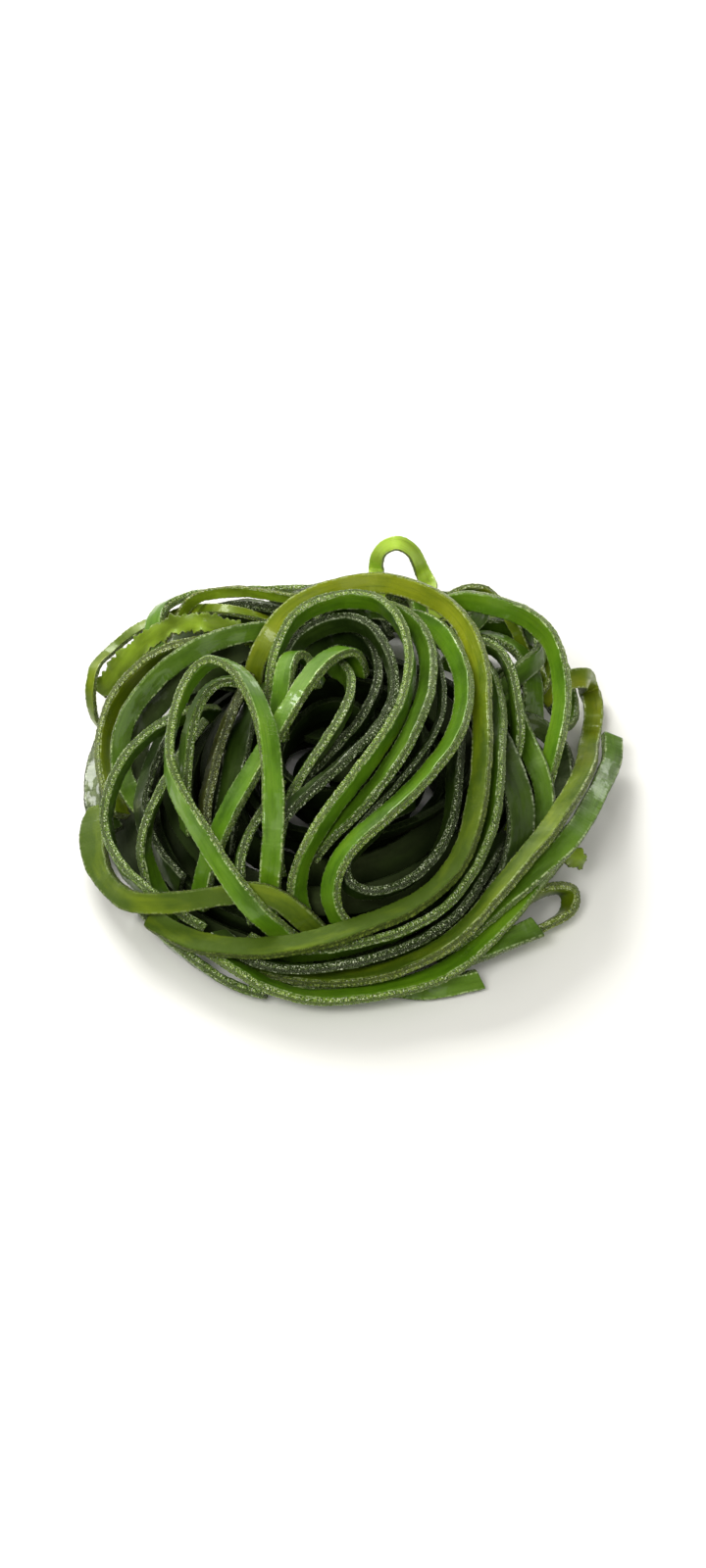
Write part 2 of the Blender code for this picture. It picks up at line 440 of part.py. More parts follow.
class Heap:
    """All the strips together, which are bent clear of one another."""

    CLEARANCE = 1.12
    BEAD_STEP = 2.35
    BEAD_SPREAD = 1.9
    GIVE = 0.14
    FIRM, LOOSE = 0.25, 0.08
    HOLD = 0.06
    SINK = 0.05

    def __init__(self, strips):
        self.strips = strips
        sizes = [len(s.middle) for s in strips]
        self.first = np.concatenate([[0], np.cumsum(sizes)])
        self.owner = np.repeat(np.arange(len(strips)), sizes)
        self.middle = np.vstack([s.middle for s in strips])
        self.across = np.vstack([s.across for s in strips])
        self.half = np.concatenate([s.half_width for s in strips])
        self.room = np.repeat([s.room for s in strips], sizes)
        self.facing = np.repeat([s.facing for s in strips], sizes).astype(float)
        self.free = 1.0 - np.repeat([s.fixed for s in strips], sizes).astype(float)
        self.spacing = np.repeat([s.spacing for s in strips], sizes)
        self.planned = self.middle.copy()
        self.level = HEIGHT * np.array([shell_level(p) for p in self.planned])
        self.outward = np.array([outward(p) for p in self.planned])
        index = np.arange(len(self.middle))
        self.seg = index[:-1][self.owner[:-1] == self.owner[1:]]
        self.length = np.linalg.norm(self.middle[self.seg + 1] - self.middle[self.seg], axis=1)
        self.mid = self.seg[:-1][(np.diff(self.seg) == 1)] + 1
        self.bend = self.middle[self.mid] - (self.middle[self.mid - 1] + self.middle[self.mid + 1]) / 2
        self.set_beads()

    def set_beads(self):
        """Beads across and along every strip, which stand for its body while it is bent clear."""
        rows, shares, sides, radii = [], [], [], []
        last_of_strip = set(self.first[1:] - 2)
        for i in self.seg:
            radius = (self.room[i] + self.CLEARANCE) / 2
            outer = self.half[i] - self.room[i] / 2 + self.CLEARANCE / 10
            across = max(2, int(math.ceil(2 * outer / self.BEAD_SPREAD)) + 1)
            along = int(math.ceil(self.spacing[i] / self.BEAD_STEP))
            for row in range(along + (i in last_of_strip)):
                for side in np.linspace(-outer, outer, across):
                    rows.append(i)
                    shares.append(row / along)
                    sides.append(side)
                    radii.append(radius)
        self.row = np.array(rows)
        self.share = np.array(shares)
        self.side = np.array(sides)
        self.radius = np.array(radii)
        self.bead_owner = self.owner[self.row]
        self.run = (self.row - self.first[self.bead_owner] + self.share) * self.spacing[self.row]

    def beads(self):
        a, b = self.row, self.row + 1
        s = self.share[:, None]
        return ((1 - s) * (self.middle[a] + self.side[:, None] * self.across[a])
                + s * (self.middle[b] + self.side[:, None] * self.across[b]))

    def close_pairs(self, points, reach):
        """Every pair of beads within reach that belong to different strips or to far stretches of one."""
        cell = np.floor((points - points.min(0)) / reach).astype(np.int64) + 1
        wide = cell.max(0) + 2
        key = (cell[:, 0] * wide[1] + cell[:, 1]) * wide[2] + cell[:, 2]
        order = np.argsort(key, kind="stable")
        ordered = key[order]
        found_a, found_b = [], []
        for dx in (-1, 0, 1):
            for dy in (-1, 0, 1):
                for dz in (-1, 0, 1):
                    shift = (dx * wide[1] + dy) * wide[2] + dz
                    if shift < 0:
                        continue
                    low = np.searchsorted(ordered, key + shift, "left")
                    high = np.searchsorted(ordered, key + shift, "right")
                    count = high - low
                    a = np.repeat(np.arange(len(key)), count)
                    start = np.repeat(low - np.concatenate([[0], np.cumsum(count)[:-1]]), count)
                    b = order[start + np.arange(len(a))]
                    gap = points[a] - points[b]
                    keep = (gap * gap).sum(1) < reach * reach
                    if shift == 0:
                        keep &= a < b
                    a, b = a[keep], b[keep]
                    same = self.bead_owner[a] == self.bead_owner[b]
                    keep = ~(same & (np.abs(self.run[a] - self.run[b]) < 3.2 * self.radius[a] + 9))
                    found_a.append(a[keep])
                    found_b.append(b[keep])
        return np.concatenate(found_a), np.concatenate(found_b)

    def push_apart(self, pairs):
        """Moves overlapping beads apart. Where two strips have sunk deep into each other, the one that was
        laid nearer to the surface is pushed outwards, so that each crossing keeps its over and under."""
        a, b = pairs
        points = self.beads()
        gap = points[a] - points[b]
        distance = np.sqrt((gap * gap).sum(1)) + 1e-9
        need = self.radius[a] + self.radius[b]
        touching = distance < need
        a, b, gap, distance = a[touching], b[touching], gap[touching], distance[touching]
        if not len(a):
            return
        need = need[touching]
        depth = need - distance
        row_a, row_b = self.row[a], self.row[b]
        order = np.clip((self.level[row_a] - self.level[row_b]) / 2.0, -1, 1)
        out = self.outward[row_a] + self.outward[row_b]
        out /= np.sqrt((out * out).sum(1))[:, None]
        way = gap / distance[:, None]
        way += out * (order * np.clip(depth / need - 0.3, 0, 1) * 3.0)[:, None]
        way /= np.sqrt((way * way).sum(1))[:, None] + 1e-9
        free_a, free_b = self.free[row_a], self.free[row_b]
        total = np.maximum(free_a + free_b, 1e-9)
        bead = np.concatenate([a, b])
        move = np.concatenate([way * (depth * free_a / total)[:, None],
                               -way * (depth * free_b / total)[:, None]])
        size = len(self.middle)
        rails = np.zeros((2, size, 3))
        weight = np.zeros((2, size))
        along = self.share[bead]
        toward_right = 0.5 + 0.5 * self.side[bead] / self.half[self.row[bead]]
        for rail, part in ((0, 1 - toward_right), (1, toward_right)):
            for row, share in ((self.row[bead], 1 - along), (self.row[bead] + 1, along)):
                w = part * share
                for k in range(3):
                    rails[rail, :, k] += np.bincount(row, w * move[:, k], size)
                weight[rail] += np.bincount(row, w, size)
        rails /= np.maximum(weight, 1e-6)[:, :, None]
        left = self.middle - self.half[:, None] * self.across + rails[0]
        right = self.middle + self.half[:, None] * self.across + rails[1]
        self.middle = (left + right) / 2
        wide = right - left
        self.across = wide / np.sqrt((wide * wide).sum(1))[:, None]

    def keep_lengths(self):
        """Holds the spacing along each strip, and stops either rail from stretching too far."""
        for parity in (0, 1):
            i = self.seg[(self.seg % 2) == parity]
            rest = self.length[(self.seg % 2) == parity]
            gap = self.middle[i + 1] - self.middle[i]
            distance = np.sqrt((gap * gap).sum(1))
            move = gap * (0.5 * (distance - rest) / distance)[:, None] * self.free[i][:, None]
            self.middle[i] += move
            self.middle[i + 1] -= move
        i = self.seg
        for side in (-1, 1):
            rail_a = self.middle[i] + side * self.half[i][:, None] * self.across[i]
            rail_b = self.middle[i + 1] + side * self.half[i][:, None] * self.across[i + 1]
            gap = rail_b - rail_a
            distance = np.sqrt((gap * gap).sum(1))
            shortest, longest = self.length * (1 - self.GIVE), self.length * (1 + self.GIVE)
            excess = distance - np.clip(distance, shortest, longest)
            turn = side * gap * (0.25 * excess / distance / self.half[i] * self.free[i])[:, None]
            np.add.at(self.across, i, turn)
            np.add.at(self.across, i + 1, -turn)

    def keep_form(self, firmness):
        """Draws each strip back to the bends that it was laid with, and evens out its twist."""
        m = self.mid
        aim = (self.middle[m - 1] + self.middle[m + 1]) / 2 + self.bend
        self.middle[m] += (aim - self.middle[m]) * (firmness * self.free[m])[:, None]
        even = (self.across[m - 1] + self.across[m + 1]) / 2 - self.across[m]
        self.across[m] += 0.25 * even * self.free[m][:, None]
        ahead = self.ahead()
        lean = (self.across * ahead).sum(1)
        square = self.across - 0.6 * lean[:, None] * ahead
        square /= np.sqrt((square * square).sum(1))[:, None]
        self.across = np.where((self.free == 0)[:, None], self.across, square)

    def ahead(self):
        """The direction of each strip at each of its points."""
        ahead = np.zeros_like(self.middle)
        step = self.middle[self.seg + 1] - self.middle[self.seg]
        ahead[self.seg] += step
        ahead[self.seg + 1] += step
        return ahead / np.sqrt((ahead * ahead).sum(1))[:, None]

    def keep_place(self, hold, drop):
        """Holds the shown strips where they show, lets them move in depth, and lets everything sink."""
        away = self.planned - self.middle
        view = np.stack([0 * self.facing, self.facing * VIEW_COS, 0 * self.facing - VIEW_SIN], axis=1)
        deep = (away * view).sum(1)[:, None] * view
        shown = (self.facing != 0)[:, None]
        move = np.where(shown, hold * (away - deep) + 0.2 * hold * deep, 0.3 * hold * away)
        self.middle += move * self.free[:, None]
        self.middle[:, 2] -= drop * self.free

    def stay_on_floor(self):
        normal = np.cross(self.ahead(), self.across)
        low = self.half * np.abs(self.across[:, 2]) + self.room / 2 * np.abs(normal[:, 2]) + FLOOR_GAP
        self.middle[:, 2] = np.where(self.free > 0, np.maximum(self.middle[:, 2], low), self.middle[:, 2])

    def bend_clear(self, rounds):
        for step in range(rounds):
            part = step / rounds
            self.keep_place(self.HOLD * max(0.0, 1 - part / 0.75), self.SINK if part < 0.6 else 0.0)
            self.keep_lengths()
            self.keep_form(self.FIRM if part < 0.8 else self.LOOSE)
            if step % 6 == 0:
                pairs = self.close_pairs(self.beads(), 2 * self.radius.max() + 1.2)
            self.push_apart(pairs)
            self.push_apart(pairs)
            self.stay_on_floor()


def sections(strip, middle, across, draw):
    """The points across the strip at every step of its length: slanted cut ends, and a width that varies.
    A piece of the blade's margin has finer steps and a wave along its two sides."""
    finer = MARGIN_FINER_STEPS if strip.kind == "margin" else 1
    count = (len(middle) - 1) * finer + 1
    at = np.arange(count) / finer
    rings = np.arange(len(middle))
    middle = np.stack([np.interp(at, rings, middle[:, k]) for k in range(3)], axis=1)
    across = np.stack([np.interp(at, rings, across[:, k]) for k in range(3)], axis=1)
    across /= np.linalg.norm(across, axis=1)[:, None]
    ahead = np.gradient(middle, axis=0)
    ahead /= np.linalg.norm(ahead, axis=1)[:, None]
    normal = np.cross(ahead, across)
    run = at * strip.spacing
    phase = [draw.uniform(0, 2 * math.pi) for _ in range(4)]
    swell = 0.5 * np.sin(2 * math.pi * run / LONG_SWELL + phase[0])
    swell += 0.5 * np.sin(2 * math.pi * run / SHORT_SWELL + phase[1])
    half = np.interp(at, rings, strip.half_width) * (1 - WIDTH_SWELL + WIDTH_SWELL * swell)
    slant = np.zeros(count)
    slant[0], slant[-1] = draw.uniform(-SLANT, SLANT), draw.uniform(-SLANT, SLANT)
    shares = (-1.0, 0.0, 1.0) if strip.kind == "margin" else (-1.0, 1.0)
    wave = MARGIN_WAVE if strip.kind == "margin" else 0.0
    rows = []
    for i in range(count):
        row = []
        for share in shares:
            turn = 2 * math.pi * run[i] / MARGIN_WAVE_LENGTH + phase[2 + (share > 0)]
            outward_part = half[i] * across[i] + slant[i] * ahead[i]
            row.append(middle[i] + share * (outward_part + wave * math.sin(turn) * normal[i]))
        rows.append(row)
    return rows


def build_strip(strip, rows, collection):
    """A flat grid laid along the strip's sections and thickened both ways."""
    along, wide = len(rows) - 1, len(rows[0]) - 1
    shape = bmesh.new()
    bmesh.ops.create_grid(shape, x_segments=along, y_segments=wide, size=1.0)
    for vertex in shape.verts:
        i = round((vertex.co.x + 1) / 2 * along)
        j = round((vertex.co.y + 1) / 2 * wide)
        vertex.co = MM * rows[i][j]
    bmesh.ops.triangulate(shape, faces=shape.faces[:])
    mesh = bpy.data.meshes.new(strip.name)
    shape.to_mesh(mesh)
    shape.free()
    mesh.materials.append(kelp_material(strip))
    obj = bpy.data.objects.new(strip.name, mesh)
    collection.objects.link(obj)
    thicken = obj.modifiers.new("Cut thickness", "SOLIDIFY")
    thicken.thickness = strip.thickness * MM
    thicken.offset = 0.0
    return obj


def kelp_material(strip):
    material = bpy.data.materials.new(f"{strip.name} kelp")
    material.use_nodes = True
    shader = material.node_tree.nodes["Principled BSDF"]
    shader.inputs["Base Color"].default_value = (*TONES[strip.tone], 1.0)
    shader.inputs["Roughness"].default_value = WET_ROUGHNESS
    shader.inputs["Metallic"].default_value = 0.0
    return material


def centre(objects):
    """Moves the heap so that the middle of its box stands over the origin."""
    graph = bpy.context.evaluated_depsgraph_get()
    corners = np.array([corner for obj in objects for corner in obj.evaluated_get(graph).bound_box])
    middle = (corners.min(0) + corners.max(0)) / 2
    for obj in objects:
        obj.location = (-middle[0], -middle[1], 0.0)


for leftover in list(bpy.data.objects):
    bpy.data.objects.remove(leftover, do_unlink=True)

kelp_heap = bpy.data.collections.new("Kelp heap")
bpy.context.scene.collection.children.link(kelp_heap)

strips = [foot_strip()] + nest_coils() + shown_strips(FAR_STRIPS, -1) + shown_strips(NEAR_STRIPS, 1)
heap = Heap(strips)
heap.bend_clear(480)

seeded = random.Random(29)
built = []
for k, strip in enumerate(strips):
    part = slice(heap.first[k], heap.first[k + 1])
    rows = sections(strip, heap.middle[part], heap.across[part], seeded)
    built.append(build_strip(strip, rows, kelp_heap))
centre(built)
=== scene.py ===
import math
from itertools import combinations, permutations

import bpy
import numpy as np
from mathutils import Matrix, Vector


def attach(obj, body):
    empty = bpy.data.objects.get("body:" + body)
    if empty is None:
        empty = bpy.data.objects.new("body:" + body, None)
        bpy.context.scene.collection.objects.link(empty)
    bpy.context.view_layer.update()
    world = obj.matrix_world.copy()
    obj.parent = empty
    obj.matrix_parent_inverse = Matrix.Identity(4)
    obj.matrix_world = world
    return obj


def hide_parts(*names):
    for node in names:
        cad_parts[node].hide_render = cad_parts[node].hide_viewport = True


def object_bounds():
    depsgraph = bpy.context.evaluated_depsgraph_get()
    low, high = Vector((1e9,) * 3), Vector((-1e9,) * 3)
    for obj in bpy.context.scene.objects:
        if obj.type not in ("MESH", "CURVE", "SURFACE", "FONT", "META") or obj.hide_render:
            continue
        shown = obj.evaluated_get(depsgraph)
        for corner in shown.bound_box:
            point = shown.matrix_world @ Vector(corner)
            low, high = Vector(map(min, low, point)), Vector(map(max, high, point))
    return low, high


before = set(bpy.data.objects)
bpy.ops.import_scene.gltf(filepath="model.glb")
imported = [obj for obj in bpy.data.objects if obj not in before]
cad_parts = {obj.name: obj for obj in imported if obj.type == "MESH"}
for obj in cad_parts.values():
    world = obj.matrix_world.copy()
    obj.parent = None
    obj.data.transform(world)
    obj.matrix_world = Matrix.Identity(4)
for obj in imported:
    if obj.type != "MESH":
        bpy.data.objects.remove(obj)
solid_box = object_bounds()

# The lowest strip and the nest. The heap lies on one strip coiled flat and is filled by four longer ones,
# coiled tier on tier above it. They are the dark middle of the blade, cut into bands: smooth skin above and
# below, open flesh along both cuts, painted darker still with the shade of the heap's inside. Nothing but
# their own weight holds them.

MM = 0.001
TAU = 2 * math.pi
SAME_POINT_DECIMALS = 6


def solid_points(node):
    """The corners of a strip's solid, each of them once, and a table of the pairs that an edge joins."""
    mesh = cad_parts[node].data
    mesh.calc_loop_triangles()
    spots = np.array([vertex.co[:] for vertex in mesh.vertices])
    corners = np.array([triangle.vertices[:] for triangle in mesh.loop_triangles])
    spots, merged = np.unique(np.round(spots, SAME_POINT_DECIMALS), axis=0, return_inverse=True)
    corners = merged.reshape(-1)[corners]
    joined = np.zeros((len(spots), len(spots)), dtype=int)
    for a, b in ((0, 1), (1, 2), (2, 0)):
        joined[corners[:, a], corners[:, b]] = joined[corners[:, b], corners[:, a]] = 1
    return spots, joined


def partners(spots, joined, wide):
    """The point straight across from each point, on the strip's other skin. Round a cut side it is one edge
    away from a rim point, and three from the middle one of a strip that is three points wide."""
    edges_round_side = 2 * wide - 3
    near = np.linalg.matrix_power(joined, edges_round_side) > 0
    np.fill_diagonal(near, False)
    apart = np.where(near, np.linalg.norm(spots[:, None] - spots[None], axis=2), np.inf)
    thickness = np.median(apart.min(axis=1))
    return np.abs(apart - thickness).argmin(axis=1)


def rows_from_end(beside, wide):
    """The rows across a strip, found by starting at each possible end row and stepping along the strip."""
    for corner in sorted(range(len(beside)), key=lambda k: len(beside[k])):
        near = set(beside[corner])
        if wide > 2:
            near |= {far for k in near for far in beside[k]}
        near.discard(corner)
        for others in combinations(sorted(near), wide - 1):
            seen = {corner, *others}
            rows = [sorted(seen)]
            while len(rows[-1]) == wide:
                following = {k for i in rows[-1] for k in beside[i]} - seen
                if not following:
                    break
                seen |= following
                rows.append(sorted(following))
            if len(rows[-1]) == wide and len(seen) == len(beside):
                return rows
    return None


def in_step(rows, middle):
    """The rows with their points in order across the strip, each row on the same hand as the one before."""
    ordered = []
    for row in rows:
        orders = [list(order) for order in permutations(row)]
        if ordered:
            last = middle[ordered[-1]]
            lengths = [np.linalg.norm(middle[order] - last, axis=1).sum() for order in orders]
        else:
            lengths = [np.linalg.norm(np.diff(middle[order], axis=0), axis=1).sum() for order in orders]
        ordered.append(orders[int(np.argmin(lengths))])
    return ordered


def course_of(node, wide):
    """A strip's course, read from its solid: rows of points across it from end to end, at half thickness,
    and for each point an arrow out of its upper skin, as long as half the thickness."""
    spots, joined = solid_points(node)
    partner = partners(spots, joined, wide)
    if (partner[partner] != np.arange(len(spots))).any():
        raise ValueError(f"{node}: its two skins don't pair up")
    upper = np.flatnonzero(partner > np.arange(len(spots)))
    pair = np.full(len(spots), -1)
    pair[upper] = pair[partner[upper]] = np.arange(len(upper))
    beside = [set() for _ in upper]
    for a, b in np.argwhere(joined):
        if pair[a] != pair[b]:
            beside[pair[a]].add(int(pair[b]))
    rows = rows_from_end(beside, wide)
    if rows is None:
        raise ValueError(f"{node}: it isn't a plain strip")
    middle = (spots[upper] + spots[partner[upper]]) / 2
    arrow = (spots[upper] - spots[partner[upper]]) / 2
    rows = in_step(rows, middle)
    facing = arrow[rows]
    for i in range(len(rows)):
        for j in range(wide):
            before = facing[i - 1, j] if i else facing[i, j - 1]
            if (i or j) and facing[i, j] @ before < 0:
                facing[i, j] *= -1
    return middle[rows], facing


SOFTER_SHARE = 0.5


def eased(rows, places):
    """Rows at those places along a strip, on a curve between one through the given rows and a softer one
    that runs beside them, so that no kink is left."""
    padded = np.concatenate([2 * rows[:1] - rows[1:2], rows, 2 * rows[-1:] - rows[-2:-1]])
    start = np.clip(np.floor(places).astype(int), 0, len(rows) - 2)
    t = (places - start).reshape(-1, *[1] * (rows.ndim - 1))
    a, b, c, d = (padded[start + k] for k in range(4))
    through = (2 * b + (c - a) * t + (2 * a - 5 * b + 4 * c - d) * t**2
               + (3 * b - a - 3 * c + d) * t**3) / 2
    softer = ((1 - t) ** 3 * a + (3 * t**3 - 6 * t**2 + 4) * b + (-3 * t**3 + 3 * t**2 + 3 * t + 1) * c
              + t**3 * d) / 6
    return (1 - SOFTER_SHARE) * through + SOFTER_SHARE * softer


def drift(run, lengths, draw):
    """A slow unevenness along a strip, between -1 and 1, as waves of those lengths in millimetres."""
    waves = [np.sin(TAU * run / length + draw.uniform(0, TAU)) for length in lengths]
    return sum(waves) / len(lengths)


# A strip's section: where the last skin points lie before the rim, how far the rounded corner's one point
# stands out and up, how high the open flesh reaches, and how closely the crimps keep to the rim.
BESIDE_RIM = 0.84
CORNER_OUT, CORNER_UP = 0.7, 0.86
FLESH_UP = 0.66
CRIMP_POWER, SIDE_CRIMP_POWER, SIDE_CRIMP = 12, 3, 0.5


def strip_section(face_points, edge_points):
    """The points round a strip's section, each with its share across the skin, the part of the corner's
    radius beyond that, its share of the half thickness, how far it is cut flesh and how far it is rim."""
    shares = np.linspace(-1, 1, face_points)
    if face_points > 3:
        shares[[1, -2]] = -BESIDE_RIM, BESIDE_RIM
    skin = [(share, 0.0, 1.0, 0.0, abs(share) ** CRIMP_POWER) for share in shares]
    side = [(1.0, 1.0, up, 1.0, SIDE_CRIMP * abs(up) ** SIDE_CRIMP_POWER)
            for up in np.linspace(FLESH_UP, -FLESH_UP, edge_points)]
    half = [*skin, (1.0, CORNER_OUT, CORNER_UP, 0.5, 1.0), *side, (1.0, CORNER_OUT, -CORNER_UP, 0.5, 1.0)]
    return np.array(half + [(-share, beyond, -up, cut, rim) for share, beyond, up, cut, rim in half])


# What is uneven on a strip. Waves are lengths along it in millimetres, and depths are millimetres too, but
# the thickness swings by a share of itself, and the rims lift by a share of their crimp.
CORNER, FULL_CORNER_FROM = 0.45, 1.2
UPPER_CRIMPS, LOWER_CRIMPS, CRIMP_LIFT = (1.31, 1.73, 2.9), (1.27, 1.84, 3.3), 0.8
WIDTH_WAVES, WIDTH_DEPTH = (7.0, 11.0, 23.0), 0.14
TOOTH_WAVES = (2.3, 4.1, 7.9)
NEAR_RIM_POWER = 4
ROUGH_CUT = 0.05
THICKNESS_WAVES, THICKNESS_SHARE = (9.0, 15.0, 31.0), 0.05
BUCKLE_WAVES, BUCKLE_DEPTH = (12.0, 19.0), 0.12
TWIST_WAVES, TWIST_DEPTH = (8.0, 27.0), 0.10
ON_SKIN_FROM, ON_FLESH_FROM = 0.9, 0.4
FEWEST_ROWS = 8
INSIDE_BOX = 0.01
# The grain's own room: how far apart it is taken for two strips, and for the two skins of one.
NEXT_STRIP, OTHER_SKIN = 100, 40.0


def lay(node, finish, shade=0.0, step=0.42, wide=2, face_points=5, edge_points=3, crimp=0.13, fray=0.0,
        seed=0):
    """Lays one strip of kelp along its solid's course, with its uneven width, crimped rims and rough cuts,
    and with torn teeth where it frays. Its shade is one value, or several spread evenly from its higher end
    to its lower. Its step along the strip, crimp and fray are in millimetres."""
    draw = np.random.default_rng(seed)
    rows, facing = course_of(node, wide)
    if rows[0].mean(axis=0)[2] < rows[-1].mean(axis=0)[2]:
        rows, facing = rows[::-1], facing[::-1]
    spacing = np.linalg.norm(np.diff(rows.mean(axis=1), axis=0), axis=1).mean()
    row_count = max(FEWEST_ROWS, int(spacing * (len(rows) - 1) / (step * MM)))
    places = np.linspace(0, len(rows) - 1, row_count)
    rows, facing = eased(rows, places), eased(facing, places)
    run = places * spacing / MM
    share, beyond, up, cut, rim = strip_section(face_points, edge_points).T
    outward = np.sign(share)

    def waves(lengths):
        return drift(run, lengths, draw)[:, None]

    half = np.linalg.norm(rows[:, -1] - rows[:, 0], axis=1)[:, None] / 2
    half_thick = np.linalg.norm(facing, axis=2).mean(axis=1)[:, None]
    corner = CORNER * MM * np.minimum(1.0, half_thick / (FULL_CORNER_FROM * MM))
    crimped = crimp * MM * rim * np.where(up > 0, waves(UPPER_CRIMPS), waves(LOWER_CRIMPS))
    ragged = WIDTH_DEPTH * waves(WIDTH_WAVES)
    torn = fray * np.where(share > 0, waves(TOOTH_WAVES), waves(TOOTH_WAVES))
    rough = ROUGH_CUT * MM * cut * draw.standard_normal((row_count, len(share)))
    uneven = MM * (ragged + torn) * np.abs(share) ** NEAR_RIM_POWER
    out = share * (half - corner) + outward * (corner * beyond + crimped + uneven + rough)

    level = half_thick * up * (1 + THICKNESS_SHARE * waves(THICKNESS_WAVES))
    waved = BUCKLE_DEPTH * waves(BUCKLE_WAVES) + TWIST_DEPTH * waves(TWIST_WAVES) * share
    level = level + MM * waved * (np.abs(up) > ON_SKIN_FROM) + np.sign(up) * crimped * CRIMP_LIFT

    u = (out / half)[:, :, None]
    weights = ((1 - u) / 2, (1 + u) / 2) if wide == 2 else (u * (u - 1) / 2, 1 - u * u, u * (u + 1) / 2)
    spot = sum(rows[:, k:k + 1] * weight for k, weight in enumerate(weights))
    normal = sum(facing[:, k:k + 1] * weight for k, weight in enumerate(weights))
    normal /= np.linalg.norm(normal, axis=2)[:, :, None]
    spot = spot + level[:, :, None] * normal
    low, high = np.array(solid_box)
    spot = np.clip(spot, low + INSIDE_BOX * MM, high - INSIDE_BOX * MM)

    along = np.broadcast_to(run[:, None] + NEXT_STRIP * seed, out.shape)
    deep = np.where(up > 0, 0.0, OTHER_SKIN) + level / MM * (cut > ON_FLESH_FROM)
    place = np.stack([along, out / MM, deep], axis=2)
    shades = np.atleast_1d(shade)
    shade_here = np.interp(run, np.linspace(run[0], run[-1], len(shades)), shades)[:, None]
    mark = np.stack([np.broadcast_to(layer, out.shape) for layer in (cut, rim, shade_here)], axis=2)
    piece = skin_over(f"kelp_{node}", spot, place, mark)
    piece.data.materials.append(finish["material"])
    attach(piece, "root")
    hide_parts(node)


END_RING = 0.8


def skin_over(name, spot, place, mark):
    """One closed mesh over the rings of points, with each end closed by a face of cut flesh. It carries
    each point's place in the grain, and its marks: how far it is cut, how far it is rim, and its shade."""
    rings, count = spot.shape[:2]
    points, places, marks = [spot.reshape(-1, 3)], [place.reshape(-1, 3)], [mark.reshape(-1, 3)]
    ring, point = np.meshgrid(np.arange(rings - 1), np.arange(count), indexing="ij")
    after = (point + 1) % count
    this_ring, next_ring = ring * count, (ring + 1) * count
    quads = [np.stack([this_ring + point, this_ring + after, next_ring + after, next_ring + point],
                      axis=2).reshape(-1, 4)]
    triangles = []
    first = rings * count
    for end, turn in ((0, 1), (rings - 1, -1)):
        centre = spot[end].mean(axis=0)
        points += [centre + END_RING * (spot[end] - centre), centre[None]]
        end_place = place[end] * (1, END_RING, 1)
        places += [end_place, end_place.mean(axis=0)[None]]
        flesh = mark[end] * (0, 0, 1) + (1, 0, 0)
        marks += [flesh, flesh[:1]]
        k = np.arange(count)
        after = (k + 1) % count
        edge = np.stack([end * count + after, end * count + k, first + k, first + after], axis=1)
        fan = np.stack([first + after, first + k, np.full(count, first + count)], axis=1)
        quads.append(edge[:, ::turn])
        triangles.append(fan[:, ::turn])
        first += count + 1
    quads, triangles = np.concatenate(quads), np.concatenate(triangles)
    points = np.concatenate(points)
    corners = np.concatenate([quads.ravel(), triangles.ravel()])
    starts = np.concatenate([4 * np.arange(len(quads)), 4 * len(quads) + 3 * np.arange(len(triangles))])
    mesh = bpy.data.meshes.new(name)
    mesh.vertices.add(len(points))
    mesh.vertices.foreach_set("co", points.astype(np.float32).ravel())
    mesh.loops.add(len(corners))
    mesh.loops.foreach_set("vertex_index", corners.astype(np.int32))
    mesh.polygons.add(len(starts))
    mesh.polygons.foreach_set("loop_start", starts.astype(np.int32))
    mesh.polygons.foreach_set("use_smooth", np.ones(len(starts), bool))
    mesh.update(calc_edges=True)
    for label, values in (("place", np.concatenate(places)), ("mark", np.concatenate(marks))):
        layer = mesh.attributes.new(label, "FLOAT_VECTOR", "POINT")
        layer.data.foreach_set("vector", values.astype(np.float32).ravel())
    mesh.validate()
    piece = bpy.data.objects.new(name, mesh)
    bpy.context.scene.collection.objects.link(piece)
    return piece


def sockets(group, inputs, outputs):
    """Gives a node group its named inputs and outputs."""
    for label, kind in inputs:
        group.interface.new_socket(label, in_out="INPUT", socket_type=kind)
    for label, kind in outputs:
        group.interface.new_socket(label, in_out="OUTPUT", socket_type=kind)
    return group.nodes.new("NodeGroupInput"), group.nodes.new("NodeGroupOutput")


def feed(group, source, socket):
    """Joins another node's output to a socket, or sets the socket to a plain value."""
    if isinstance(source, bpy.types.NodeSocket):
        group.links.new(source, socket)
    else:
        socket.default_value = source


def noise(group, entry, along, across, through, detail, roughness=0.5):
    """A noise laid in the strip's own grain, with so many spots to a millimetre along, across and through
    the strip."""
    spread = group.nodes.new("ShaderNodeVectorMath")
    spread.operation = "MULTIPLY"
    spread.inputs[1].default_value = (along, across, through)
    group.links.new(entry.outputs["Place"], spread.inputs[0])
    spots = group.nodes.new("ShaderNodeTexNoise")
    spots.inputs["Scale"].default_value = 1.0
    spots.inputs["Detail"].default_value = detail
    spots.inputs["Roughness"].default_value = roughness
    group.links.new(spread.outputs[0], spots.inputs["Vector"])
    return spots.outputs["Fac"]


def ramp(group, value, low, high, bottom=0.0, top=1.0):
    """Spreads a value between low and high over the range from bottom to top."""
    spread = group.nodes.new("ShaderNodeMapRange")
    spread.inputs["From Min"].default_value = low
    spread.inputs["From Max"].default_value = high
    spread.inputs["To Min"].default_value = bottom
    spread.inputs["To Max"].default_value = top
    group.links.new(value, spread.inputs["Value"])
    return spread.outputs["Result"]


def blended(group, share, first, second, kind="RGBA"):
    """A mix of two colours or two values by a share, each of them a socket or a plain value."""
    mix = group.nodes.new("ShaderNodeMix")
    mix.data_type = kind
    first_place, second_place, result_place = {"RGBA": (6, 7, 2), "FLOAT": (2, 3, 0)}[kind]
    feed(group, share, mix.inputs[0])
    feed(group, first, mix.inputs[first_place])
    feed(group, second, mix.inputs[second_place])
    return mix.outputs[result_place]


